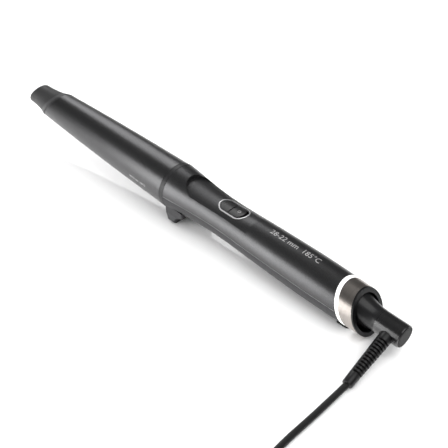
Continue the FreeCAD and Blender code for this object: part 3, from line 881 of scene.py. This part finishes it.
# ---- Cord fittings --------------------------------------------------------------------------------
@dataclass
class StrainRelief:
    """Tapered sleeve with slots round it between two plain spines."""

    shop: PaintShop
    root_station: float = 154.6 * MM
    start: float = 3.4 * MM
    root_radius: float = 3.7 * MM
    tip_radius: float = 2.7 * MM
    first_slot: float = 9.2 * MM
    plain_end: float = 5.6 * MM
    slots: int = 12
    slot_share: float = 0.46
    spines_deg: tuple[float, float] = (-46.0, 152.0)
    spine_half_deg: float = 22.0
    slot_depth: float = 0.42
    shoulder: float = 1.0 * MM
    lip: float = 0.5 * MM
    lip_edge: float = 0.15 * MM
    lip_rounding: float = 0.12 * MM
    lip_drop: float = 0.4 * MM
    edge: float = 0.10 * MM

    def place(self, exit_point: Point) -> tuple[Matrix, float]:
        """Find how the sleeve lies, from the swivel to the point where the cord comes out.

        Args:
            exit_point: where the cord leaves the sleeve.

        Returns:
            Matrix from the sleeve's own axes (X along it, Z up), and its length.
        """
        root = AXIS.laying() @ Vector((self.root_station, 0, 0))
        along = Vector(exit_point) - root
        length = along.length
        along.normalize()
        side = Vector((0, 0, 1)).cross(along).normalized()
        up = along.cross(side)
        turn = Matrix((along, side, up)).transposed().to_4x4()
        return Matrix.Translation(root) @ turn, length

    def pitch(self, length: float) -> float:
        """Distance from one slot to the next, on a sleeve of a given length."""
        return (length - self.first_slot - self.plain_end) / self.slots

    def outline(self, length: float) -> list[tuple[float, float]]:
        """Draw the sleeve's outline, with a ring at each edge of each slot.

        Args:
            length: the sleeve's length.

        Returns:
            Station and radius of each ring.
        """
        def radius(at: float) -> float:
            """Radius of the plain taper at a station."""
            share = (at - self.start) / (length - self.start)
            return self.root_radius + (self.tip_radius - self.root_radius) * share

        pitch = self.pitch(length)
        rings = [(self.start, self.root_radius), (self.first_slot - self.shoulder, radius(self.first_slot))]
        for index in range(self.slots):
            low = self.first_slot + pitch * index
            rings += [(low, radius(low)), (low + pitch * self.slot_share, radius(low))]
        end = radius(length)
        return rings + [(length - self.lip, end), (length - self.lip_edge, end - self.lip_rounding),
                        (length, end - self.lip_drop)]

    def build(self, exit_point: Point) -> bpy.types.Object:
        """Model the sleeve, cut its slots, and lay it on the cord.

        Args:
            exit_point: where the cord leaves the sleeve.

        Returns:
            The sleeve.
        """
        place, length = self.place(exit_point)
        sleeve = turned("relief_sleeve", self.outline(length), steps=60)
        pitch = self.pitch(length)
        spine = math.cos(math.radians(self.spine_half_deg))

        def in_slot(face: bmesh.types.BMFace) -> bool:
            """Whether a face lies in a slot, and so not on a spine."""
            middle = face.calc_center_median()
            along = (middle.x - self.first_slot) / pitch
            if not 0 < along < self.slots or along % 1 > self.slot_share:
                return False
            around = math.atan2(middle.y, middle.z)
            return all(math.cos(around - math.radians(centre)) < spine for centre in self.spines_deg)

        with editing(sleeve):
            pick_faces(sleeve, in_slot)
            bpy.ops.mesh.extrude_region_move(TRANSFORM_OT_translate={"value": (0, 0, 0)})
            keep = 1 - self.slot_depth
            bpy.ops.transform.resize(value=(1, keep, keep), center_override=(0, 0, 0))
        soften(sleeve, self.edge, segments=2, angle_deg=40)
        return settle(sleeve, place, self.shop, RELIEF_RUBBER, "cord_jacket", Body.SWIVEL, "strain_relief")


@dataclass
class Plug:
    """Flat two-pin plug with a waisted body, grip ribs, and half-sleeved pins."""

    shop: PaintShop
    bottom: float = 0.05 * MM
    sections: tuple[tuple[float, float, float], ...] = (
        (0.0, 7.6 * MM, 7.2 * MM), (4.0 * MM, 8.2 * MM, 8.0 * MM), (12.0 * MM, 10.4 * MM, 9.6 * MM),
        (17.0 * MM, 20.0 * MM, 12.4 * MM), (21.5 * MM, 31.0 * MM, 13.6 * MM),
        (25.0 * MM, 35.0 * MM, 13.8 * MM), (38.0 * MM, 35.0 * MM, 13.8 * MM),
    )
    middle_height: float = 6.95 * MM
    slab: float = 1.0 * MM
    rounding: float = 0.9 * MM
    ribs: int = 5
    rib_start: float = 25.5 * MM
    rib_pitch: float = 2.2 * MM
    rib_reach: float = 12.5 * MM
    rib_inset: float = 0.15 * MM
    rib_depth: float = 0.45 * MM
    pin_radius: float = 2.0 * MM
    pin_length: float = 19.0 * MM
    pin_spacing: float = 18.6 * MM
    pin_nose: float = 1.6 * MM
    nose_flat: float = 0.25
    nose_step_deg: float = 15.0
    sleeve_share: float = 0.52
    sleeve_wall: float = 0.04 * MM

    @property
    def face(self) -> float:
        """Station of the face that the pins stand in."""
        return self.sections[-1][0]

    def place(self, tail: Sequence[Point]) -> Matrix:
        """Find how the plug lies, from the cord's last two points.

        Args:
            tail: points of the cord's tail.

        Returns:
            Matrix from the plug's own axes to the frame.
        """
        entry, before = Vector(tail[-1]), Vector(tail[-2])
        heading = math.atan2(entry.y - before.y, entry.x - before.x)
        low = Matrix.Translation((entry.x, entry.y, self.bottom))
        return low @ Matrix.Rotation(heading, 4, "Z")

    def shell(self) -> bpy.types.Object:
        """Model the body: a thin slab drawn out and widened section by section, then ribbed.

        Returns:
            The body, in the plug's own axes.
        """
        _, width, height = self.sections[0]
        bpy.ops.mesh.primitive_cube_add(size=1, location=(self.slab / 2, 0, self.middle_height),
                                        scale=(self.slab, width, height))
        body = bpy.context.object
        body.name = "plug_shell"
        bpy.ops.object.transform_apply(location=True, rotation=True, scale=True)
        with editing(body):
            pick_faces(body, lambda face: face.normal.x > 0.9)
            here = self.slab
            for station, wide, tall in self.sections[1:]:
                bpy.ops.mesh.extrude_region_move(TRANSFORM_OT_translate={"value": (station - here, 0, 0)})
                bpy.ops.transform.resize(value=(1, wide / width, tall / height),
                                         center_override=(station, 0, self.middle_height))
                here, width, height = station, wide, tall
            for index in range(2 * self.ribs + 1):
                bpy.ops.mesh.select_all(action="SELECT")
                cut = self.rib_start + index * self.rib_pitch / 2
                bpy.ops.mesh.bisect(plane_co=(cut, 0, 0), plane_no=(1, 0, 0))
            for side in (-1, 1):
                bpy.ops.mesh.select_all(action="SELECT")
                bpy.ops.mesh.bisect(plane_co=(0, side * self.rib_reach, 0), plane_no=(0, 1, 0))

            def groove(face: bmesh.types.BMFace) -> bool:
                """Whether a face is one of the strips sunk between the ribs."""
                middle = face.calc_center_median()
                along = (middle.x - self.rib_start) / (self.rib_pitch / 2)
                flat = abs(face.normal.z) > 0.9 and abs(middle.y) < self.rib_reach
                return flat and 0 < along < 2 * self.ribs and int(along) % 2 == 0 and middle.x < self.face

            pick_faces(body, groove)
            bpy.ops.mesh.inset(thickness=self.rib_inset, depth=-self.rib_depth, use_individual=True)
        soften(body, self.rounding, segments=3, angle_deg=50)
        return body

    def pair(self, name: str, outline: Sequence[tuple[float, float]]) -> bpy.types.Object:
        """Turn a piece, and stand it and its copy at the two pins' places.

        Args:
            name: the piece's name.
            outline: station and radius of each of its rings.

        Returns:
            Both as one piece, in the plug's own axes.
        """
        first = turned(name, outline, steps=32)
        first.data.transform(Matrix.Translation((0, self.pin_spacing / 2, self.middle_height)))
        second = first.copy()
        second.data = first.data.copy()
        bpy.context.scene.collection.objects.link(second)
        second.data.transform(Matrix.Translation((0, -self.pin_spacing, 0)))
        use_only(first)
        second.select_set(True)
        bpy.ops.object.join()
        smooth(first, 40)
        return first

    def pins(self) -> bpy.types.Object:
        """Model both pins, rounded at their ends.

        Returns:
            The pins, in the plug's own axes.
        """
        nose = self.face + self.pin_length - self.pin_nose
        outline = [(self.face, self.pin_radius), (nose, self.pin_radius)]
        for step in range(1, 6):
            turn = math.radians(self.nose_step_deg * step)
            outline.append((nose + self.pin_nose * math.sin(turn),
                            self.pin_radius * (self.nose_flat + (1 - self.nose_flat) * math.cos(turn))))
        return self.pair("plug_contacts", outline)

    def sleeves(self) -> bpy.types.Object:
        """Model the black sleeves round the inner half of each pin.

        Returns:
            The sleeves, in the plug's own axes.
        """
        radius = self.pin_radius + self.sleeve_wall
        end = self.face + self.sleeve_share * self.pin_length
        return self.pair("pin_sleeves", [(self.face, radius), (end, radius)])

    def build(self, tail: Sequence[Point]) -> list[bpy.types.Object]:
        """Model the plug and lay it at the end of the cord.

        Args:
            tail: points of the cord's tail.

        Returns:
            Its pieces.
        """
        place = self.place(tail)
        shell = settle(self.shell(), place, self.shop, PLUG_PLASTIC, "plug_plastic", Body.SWIVEL,
                       "plug_body")
        pins = settle(self.pins(), place, self.shop, PIN_NICKEL, "pin_brass", Body.SWIVEL, "plug_pins")
        sleeves = settle(self.sleeves(), place, self.shop, PLUG_PLASTIC, "plug_plastic", Body.SWIVEL)
        return [shell, pins, sleeves]


# ---- The cord -----------------------------------------------------------------------------------
@dataclass
class MainsCord:
    """The mains cord: a laid stretch, the coil that stores the rest, and its tail to the plug."""

    shop: PaintShop
    diameter: float = 3.3 * MM
    length: float = 2.7
    route: tuple[Point, ...] = (
        (0.1510, -0.0364, 0.0031), (0.1510, -0.0480, 0.0021), (0.1514, -0.0610, 0.00175),
        (0.1516, -0.0800, 0.00175), (0.1534, -0.0960, 0.00175), (0.1605, -0.1095, 0.00175),
        (0.1715, -0.1183, 0.00175), (0.1822, -0.1245, 0.00175),
    )
    tail: tuple[Point, ...] = (
        (0.2338, -0.0952, 0.0110), (0.2324, -0.0840, 0.0098), (0.2302, -0.0725, 0.0082),
        (0.2280, -0.0610, 0.0072), (0.2266, -0.0505, 0.0070),
    )
    coil_centre: tuple[float, float] = (0.2050, -0.1035)
    coil_entry_deg: float = 240.0
    inner_radius: float = 16.4 * MM
    columns: int = 5
    layers: int = 4
    turns: float = 17.333
    points_per_turn: int = 16
    step_share: float = 0.25
    lift: float = 0.1 * MM

    def coil(self) -> Iterator[Point]:
        """Wind the turns, inward in one layer and outward in the next.

        Yields:
            The points of the turns, in order.
        """
        count = round(self.turns * self.points_per_turn)
        top_turns = self.turns - self.columns * (self.layers - 1)
        for index in range(count):
            turn = index / self.points_per_turn
            layer = min(int(turn / self.columns), self.layers - 1)
            within = turn - layer * self.columns
            whole = math.floor(within)
            moved = max(0.0, (within - whole - 1 + self.step_share) / self.step_share)
            eased = moved * moved * (3 - 2 * moved)
            last = layer < self.layers - 1 and whole == self.columns - 1
            column = whole if last else whole + eased
            if layer == self.layers - 1:
                column = within * (self.columns - 1) / top_turns
            if layer % 2 == 0:
                column = self.columns - 1 - column
            height = self.diameter * (layer + (eased if last else 0.0) + 0.5) + self.lift
            radius = self.inner_radius + column * self.diameter
            angle = math.radians(self.coil_entry_deg) + 2 * math.pi * turn
            yield (self.coil_centre[0] + radius * math.cos(angle),
                   self.coil_centre[1] + radius * math.sin(angle), height)

    def build(self, fittings: Sequence[bpy.types.Object]) -> None:
        """Args:
            fittings: the separate pieces on the cord, such as its plug; not used.
        """
        points = [*self.route, *self.coil(), *self.tail]
        piece = round_curve("mains_cord", "NURBS", points, self.diameter / 2, resolution=5)
        spline = piece.data.splines[0]
        spline.order_u = 3
        spline.use_endpoint_u = True
        spline.resolution_u = 5
        self.shop.dress(piece, CORD_JACKET)
        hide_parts("cord", "cord_coil", "cord_tail")
        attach(piece, Body.SWIVEL.value)
        LOG.info("laid %s through %d points", piece.name, len(points))


# ---- Studio -------------------------------------------------------------------------------------
WHITE = (1.0, 1.0, 1.0, 1.0)


@dataclass(frozen=True)
class Softbox:
    """One area light, placed by its centre and turned towards a point."""

    name: str
    centre: Point
    aim: Point
    width: float
    height: float
    power: float
    table_only: bool = False

    def build(self, table: bpy.types.Object) -> None:
        """Hang the light.

        Args:
            table: the only thing that a light for the table shines on.
        """
        light = bpy.data.lights.new(self.name, "AREA")
        light.shape = "RECTANGLE"
        light.size = self.width
        light.size_y = self.height
        light.energy = self.power
        lamp = bpy.data.objects.new(self.name, light)
        bpy.context.scene.collection.objects.link(lamp)
        lamp.location = self.centre
        aim = Vector(self.aim) - Vector(self.centre)
        lamp.rotation_mode = "QUATERNION"
        lamp.rotation_quaternion = aim.to_track_quat("-Z", "Y")
        lamp.visible_camera = False
        if self.table_only:
            lit = bpy.data.collections.new(self.name + "_lights")
            lit.objects.link(table)
            lamp.light_linking.receiver_collection = lit


@dataclass
class Studio:
    """Pale glossy table, soft lights, and the camera."""

    azimuth_deg: float = 45.4
    elevation_deg: float = 37.0
    distance: float = 0.45
    aim: Point = (0.0328, 0.0010, 0.0124)
    lens: float = 64.286
    sensor: float = 36.0
    near: float = 0.01
    far: float = 50.0
    floor_reach: float = 2.2
    table_white: float = 0.93
    table_roughness: float = 0.08
    fade_start: float = 0.45
    fade_end: float = 1.30
    ambient: float = 0.125
    softboxes: tuple[Softbox, ...] = (
        Softbox("overhead_softbox", (0.60, 0.05, 1.25), (0.02, 0.0, 0.0), 1.2, 1.2, 7.0),
        Softbox("far_strip", (-0.60, 0.38, 0.60), (-0.04, 0.0, 0.02), 0.42, 0.60, 1.9),
        Softbox("near_strip", (-0.22, -0.50, 0.13), (0.06, 0.0, 0.02), 0.38, 0.27, 1.6),
        Softbox("table_glow", (-1.00, 1.00, 1.08), (0.05, -0.05, 0.0), 2.4, 2.2, 22.0, table_only=True),
        Softbox("table_fill", (0.50, -0.60, 1.30), (0.05, -0.05, 0.0), 1.8, 1.8, 27.0, table_only=True),
    )

    def camera(self) -> None:
        """Stand the camera at its viewing angle."""
        turn, rise = math.radians(self.azimuth_deg), math.radians(self.elevation_deg)
        back = Vector((math.sin(turn) * math.cos(rise), -math.cos(turn) * math.cos(rise), math.sin(rise)))
        data = bpy.data.cameras.new("camera")
        data.lens = self.lens
        data.sensor_width = self.sensor
        data.clip_start, data.clip_end = self.near, self.far
        camera = bpy.data.objects.new("camera", data)
        bpy.context.scene.collection.objects.link(camera)
        camera.location = Vector(self.aim) + back * self.distance
        camera.rotation_mode = "QUATERNION"
        camera.rotation_quaternion = (-back).to_track_quat("-Z", "Y")
        bpy.context.scene.camera = camera

    def table(self) -> bpy.types.Object:
        """Lay the glossy white table top, which brightens into the backdrop far from the wand.

        Returns:
            The table top.
        """
        bpy.ops.mesh.primitive_plane_add(size=2 * self.floor_reach, location=(0, 0, 0))
        top = bpy.context.object
        top.name = "table_top"
        material = bpy.data.materials.new("white_table")
        material.use_nodes = True
        tree = material.node_tree
        shader = tree.nodes["Principled BSDF"]
        shader.inputs["Base Color"].default_value = (*[self.table_white] * 3, 1.0)
        shader.inputs["Roughness"].default_value = self.table_roughness
        shader.inputs["Emission Color"].default_value = WHITE
        where = add_node(tree, "TexCoord")
        away = add_node(tree, "VectorMath", {0: where.outputs["Object"]}, operation="LENGTH")
        far = add_node(tree, "MapRange", {"Value": away.outputs["Value"], "From Min": self.fade_start,
                                          "From Max": self.fade_end})
        tree.links.new(far.outputs["Result"], shader.inputs["Emission Strength"])
        top.data.materials.append(material)
        return top

    def world(self) -> None:
        """Light the room dimly, with a white backdrop behind the object."""
        world = bpy.data.worlds.new("studio")
        world.use_nodes = True
        tree = world.node_tree
        background = tree.nodes["Background"]
        seen = add_node(tree, "LightPath")
        strength = add_node(tree, "MapRange", {"Value": seen.outputs["Is Camera Ray"],
                                               "To Min": self.ambient, "To Max": 1.0})
        tree.links.new(strength.outputs["Result"], background.inputs["Strength"])
        background.inputs["Color"].default_value = WHITE
        bpy.context.scene.world = world

    def build(self) -> None:
        """Set up the whole studio."""
        self.camera()
        table = self.table()
        self.world()
        for softbox in self.softboxes:
            softbox.build(table)
        bpy.context.scene.view_settings.view_transform = "Standard"


def main() -> None:
    """Build the studio, dress the frame, and add every piece."""
    logging.basicConfig(level=logging.INFO, format="%(name)s: %(message)s")
    bpy.ops.object.select_all(action="DESELECT")
    shop = PaintShop()
    Studio().build()
    shop.dress_frame()
    TipBand(shop).build()
    EndDisc(shop).build()
    PartingBeads(shop).build()
    PowerMark(shop).build()
    SizePrint(shop, "handle_print", SIZE_WORDS, "upper_shell", "graphite_shell",
              station=74.5 * MM, angle_deg=10, letter=4.6 * MM).build()
    SizePrint(shop, "barrel_print", SIZE_WORDS, "barrel", "graphite_barrel",
              station=-27 * MM, angle_deg=99, letter=2.0 * MM).build()
    cord = MainsCord(shop)
    relief = StrainRelief(shop).build(cord.route[0])
    plug = Plug(shop).build(cord.tail)
    cord.build([relief, *plug])


if __name__ == "__main__":
    main()
